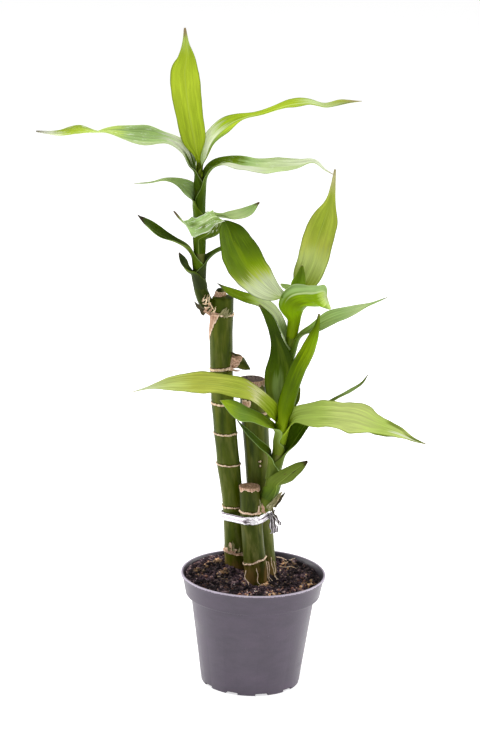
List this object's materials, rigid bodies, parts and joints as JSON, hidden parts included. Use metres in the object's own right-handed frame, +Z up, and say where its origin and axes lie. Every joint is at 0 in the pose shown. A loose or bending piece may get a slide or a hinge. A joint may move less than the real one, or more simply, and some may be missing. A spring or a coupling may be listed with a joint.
{
  "type": "lucky bamboo plant in a nursery pot",
  "caption": "Lucky bamboo: upright green canes with leafy side shoots, tied together with foil, rooted in soil in a tapered plastic nursery pot.",
  "frame": {"origin": "centre of the pot's flat underside, on the surface that the pot stands on", "axes": "+Z up along the pot's axis, +X to the right seen from the front, -Y towards the viewer"},
  "size_m": [0.2393, 0.09, 0.4091],
  "materials": {
    "pot": "satin",
    "soil": "rough, loose",
    "cane": "smooth living bark, slightly waxy",
    "leaf": "waxy living leaf",
    "foil": "crumpled foil"
  },
  "bodies": {
    "root": {"pot": "pot", "soil": "soil", "cane_tall": "cane", "cane_middle": "cane", "cane_short": "cane", "leaf_tall_1": "leaf", "leaf_tall_2": "leaf", "leaf_tall_3": "leaf", "leaf_tall_4": "leaf", "leaf_tall_5": "leaf", "leaf_tall_6": "leaf", "leaf_tall_7": "leaf", "leaf_tall_8": "leaf", "leaf_tall_9": "leaf", "leaf_tall_10": "leaf", "leaf_middle_1": "leaf", "leaf_middle_2": "leaf", "leaf_middle_3": "leaf", "leaf_middle_4": "leaf", "leaf_middle_5": "leaf", "leaf_middle_6": "leaf", "leaf_middle_7": "leaf", "leaf_short_1": "leaf", "leaf_short_2": "leaf", "leaf_short_3": "leaf", "leaf_short_4": "leaf", "leaf_short_5": "leaf", "leaf_short_6": "leaf", "leaf_short_7": "leaf", "leaf_short_8": "leaf", "leaf_short_9": "leaf", "tie": "foil"}
  },
  "joints": []
}
